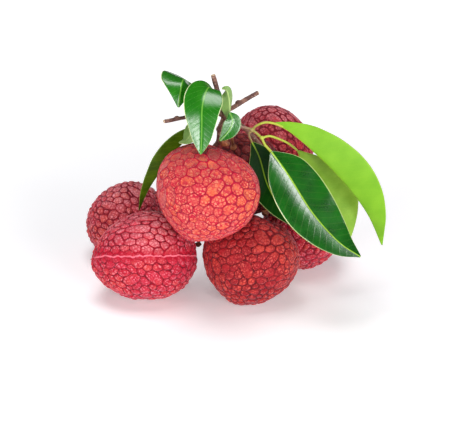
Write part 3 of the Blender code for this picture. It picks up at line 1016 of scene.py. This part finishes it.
# %% Fruit stalks and leaf stalks
FRUIT_STALKS = {
    "stalk_fruit_top": (((-1.0, 7.6, 71.0), (-0.9, 4.8, 68.4), (-2.2, 2.4, 64.6)), 1.4, 1.8),
    "stalk_fruit_front_left": (((-16.9, 19.4, 35.6), (-14.6, 20.0, 29.5), (-11.4, 17.6, 23.4),
                                (-12.0, 14.2, 18.2)), 1.3, 1.3),
    "stalk_fruit_back_left": (((-18.6, 20.8, 36.6), (-21.6, 25.6, 33.2), (-23.4, 31.6, 26.6),
                               (-24.8, 35.4, 20.6)), 1.3, 1.3),
    "stalk_fruit_front_right": (((15.8, 15.0, 36.0), (14.6, 14.6, 34.0), (12.6, 13.9, 31.4)),
                                1.3, 1.3),
    "stalk_fruit_back_right": (((17.6, 16.2, 36.6), (20.2, 19.6, 35.8), (23.2, 24.6, 33.2),
                                (23.9, 27.4, 30.0)), 1.3, 1.3),
    "stalk_fruit_middle": (((-2.6, 13.6, 68.4), (0.0, 17.2, 63.0), (1.4, 20.8, 55.2)), 1.3, 1.3),
    "stalk_fruit_high_back": (((-1.2, 12.4, 71.6), (-0.4, 22.0, 67.0), (-1.2, 38.0, 62.0),
                               (0.0, 50.0, 55.6), (2.6, 56.6, 50.6)), 1.3, 1.3),
}
FIRST_FORK = (7.9, 5.0, 68.7)
SECOND_FORK = (11.4, 1.0, 67.2)
LEAF_STALKS = {
    "leaf_stalk": (((0.7, 8.6, 71.0), (3.8, 7.0, 69.2), FIRST_FORK, SECOND_FORK), 1.15, 0.95),
    "side_stalk_arching": ((FIRST_FORK, (9.5, 4.0, 70.8), (12.5, 3.0, 72.4),
                            (15.9, 3.0, 72.0), (19.0, 2.4, 70.9)), 0.85, 0.9),
    "side_stalk_behind": ((SECOND_FORK, (14.0, 1.0, 68.0), (17.4, 2.0, 66.5),
                           (21.0, 3.0, 64.3), (24.2, 5.2, 60.8)), 0.85, 0.85),
    "side_stalk_front": ((SECOND_FORK, (12.5, -1.0, 65.4), (14.6, -3.0, 63.7)), 0.9, 1.0),
    "side_stalk_shaded": ((FIRST_FORK, (6.8, 5.8, 66.6), (7.9, 8.2, 62.7)), 0.8, 0.8),
}
COLLAR_LUMPS = 7


def collar(knots, width, seed):
    """The rough remains of the flower round the end of a fruit stalk."""
    end, before = np.array(knots[-1]), np.array(knots[-2])
    way = unit(end - before)
    side = unit(np.cross(way, (0.3, 0.2, 1.0)))
    other = np.cross(way, side)
    dice = random.Random(seed)
    lumps = []
    for turn in range(COLLAR_LUMPS):
        angle = turn / COLLAR_LUMPS * 2 * math.pi
        place = end - way * 0.4 + (side * math.cos(angle) + other * math.sin(angle)) * width * 0.5
        lumps.append(grow_bud(place, width * dice.uniform(0.5, 0.8), seed + turn))
    return lumps + [grow_bud(end - way * 0.3, width * 1.2, seed)]


stalks = {}
for seed, (name, (knots, start, end)) in enumerate(FRUIT_STALKS.items(), 20):
    width = 2.6 if name == "stalk_fruit_top" else 1.7
    made = [grow_branch(name, knots, start, end, seed)] + collar(knots, width, seed)
    stalks[name] = grow_together(name + "_wood", made, 0.2, 2)
    write_attribute(stalks[name], "cut", np.zeros(len(stalks[name].data.vertices)))
made = [grow_branch(name, *shape, seed, 0.04)
        for seed, (name, shape) in enumerate(LEAF_STALKS.items())]
made += [grow_bud(FIRST_FORK, 1.7, 8), grow_bud(SECOND_FORK, 1.6, 9)]
leaf_stalk = grow_together("leaf_stalk_green", made, 0.18, 2)
for name, stalk in stalks.items():
    print(name, "faces:", len(stalk.data.polygons))
print("leaf stalk faces:", len(leaf_stalk.data.polygons))

# %% [markdown]
# ### Bark
# The twig's bark runs from grey-brown to a reddish brown, with pale corky dots and fine
# cracks, and the cut ends show light wood. The leaf stalks are young and still yellow-green,
# turning pinkish where they leave the twig. Both finishes use places in the heap, since wood
# that forks has no flat map of its own.

# %% Bark and green stalks
def bark_finish(name, dark, light, dots, cut_wood):
    """Rough bark, with two browns, corky dots and the wood of the cut ends."""
    paint = Paint(name)
    place = paint.node("ShaderNodeTexCoord", None, None, "Object")
    patch = paint.noise(place, 260.0, 3.0)
    cracks = paint.noise(place, 1500.0, 4.0, 0.65)
    cork = paint.cells(place, 800.0)
    colour = paint.mix(dark, light, (patch + (cracks - 0.5) * 0.5).step(0.35, 0.65))
    colour = paint.mix(colour, dots, cork.step(0.28, 0.16) * 0.7)
    colour = paint.mix(colour, cut_wood, paint.attribute("cut").step(0.3, 0.7))
    height = cracks + cork.step(0.3, 0.1) * 0.6
    return paint.surface(colour, 0.62 + (cracks - 0.5) * 0.3, paint.relief(height, 0.00015))


def green_stalk_finish(name, twig_end, leaf_end, start, end):
    """Smooth young stalk that turns from pinkish brown to yellow-green along the way across."""
    paint = Paint(name)
    place = paint.node("ShaderNodeTexCoord", None, None, "Object")
    across = paint.split(place)[0]
    streaks = paint.noise(paint.scaled(place, (400, 400, 1200)), 1.0, 2.0)
    turn = (across + (streaks - 0.5) * 0.004).step(start, end)
    colour = paint.mix(twig_end, leaf_end, turn)
    colour = paint.mix(colour, shade(150, 96, 60), streaks.step(0.62, 0.8) * 0.5)
    return paint.surface(colour, 0.42, paint.relief(streaks, 0.00006))


bark = bark_finish("twig_bark", shade(84, 48, 42), shade(142, 100, 84), shade(190, 156, 136),
                   shade(198, 170, 140))
stalk_bark = bark_finish("stalk_bark", shade(104, 52, 30), shade(166, 96, 58),
                         shade(190, 130, 90), shade(198, 170, 140))
green_stalk = green_stalk_finish("green_stalk", shade(150, 110, 96), shade(168, 178, 56),
                                 0.004, 0.012)
settle(twig, "twig", "bark", bark)
for name, stalk in stalks.items():
    settle(stalk, name, "bark", stalk_bark)
settle(leaf_stalk, "leaf_stalk", "young_stalk", green_stalk)
print("wood finished")

# %% [markdown]
# ## Floor and light
# The bunch lies on a plain pale floor that glows a little, more so further off, so that it
# looks almost white all round while a soft shadow stays under the heap.

# %% Floor
scene = bpy.context.scene
scene.view_settings.view_transform = "Standard"
choose(None)
bpy.ops.mesh.primitive_circle_add(vertices=64, radius=4, fill_type="NGON")
floor = bpy.context.object
floor.name = "floor"
floor_paint = Paint("floor")
place = floor_paint.node("ShaderNodeTexCoord", None, None, "Object")
grit = floor_paint.noise(place, 40.0, 3.0)
away = floor_paint.node("ShaderNodeVectorMath", {"operation": "LENGTH"}, {0: place}, "Value")
glow = floor_paint.mix((0.4, 0.4, 0.41, 1), (1, 1, 1, 1), away.step(0.04, 0.3))
floor_colour = floor_paint.mix(shade(246, 246, 248), shade(243, 243, 246), grit)
floor.data.materials.append(floor_paint.surface(
    floor_colour, 0.35 + grit * 0.05, floor_paint.relief(grit, 0.02 * MM),
    Emission_Color=glow, Emission_Strength=0.6))
print("floor across:", floor.dimensions[0], "m")

# %% [markdown]
# Glossy leaves show what they mirror, so the lights are placed for their reflections. Two
# small soft lights stand low in front, where the leaves mirror them as a sheen along the
# blade, weaker ones stand at the sides, and a wide one hangs overhead for the fruits' tops.
# The surroundings are nearly dark, because bright ones would lay a haze over the dark leaves.

# %% Lights and surroundings
world = bpy.data.worlds.new("surroundings")
world.use_nodes = True
sky = world.node_tree.nodes["Background"]
sky.inputs["Color"].default_value = (1, 1, 1, 1)
sky.inputs["Strength"].default_value = 0.08
scene.world = world

LIGHTS = {
    "front_right": ((0.40, -0.74, 0.22), (0.28, 0.28), 3.8),
    "front_left": ((-0.42, -0.80, 0.17), (0.20, 0.22), 2.5),
    "left": ((-0.70, -0.42, 0.30), (0.14, 0.22), 1.2),
    "right": ((0.80, -0.30, 0.25), (0.25, 0.40), 1.9),
    "top": ((-0.10, -0.06, 0.95), (0.60, 0.50), 6.0),
}
for name, (place, size, power) in LIGHTS.items():
    data = bpy.data.lights.new(name, "AREA")
    data.shape = "RECTANGLE"
    data.size, data.size_y = size
    data.energy = power
    light = bpy.data.objects.new(name, data)
    light.location = place
    aim = LOOK_AT - Vector(place)
    light.rotation_euler = aim.to_track_quat("-Z", "Y").to_euler()
    bpy.context.collection.objects.link(light)
print("lights:", len(LIGHTS))
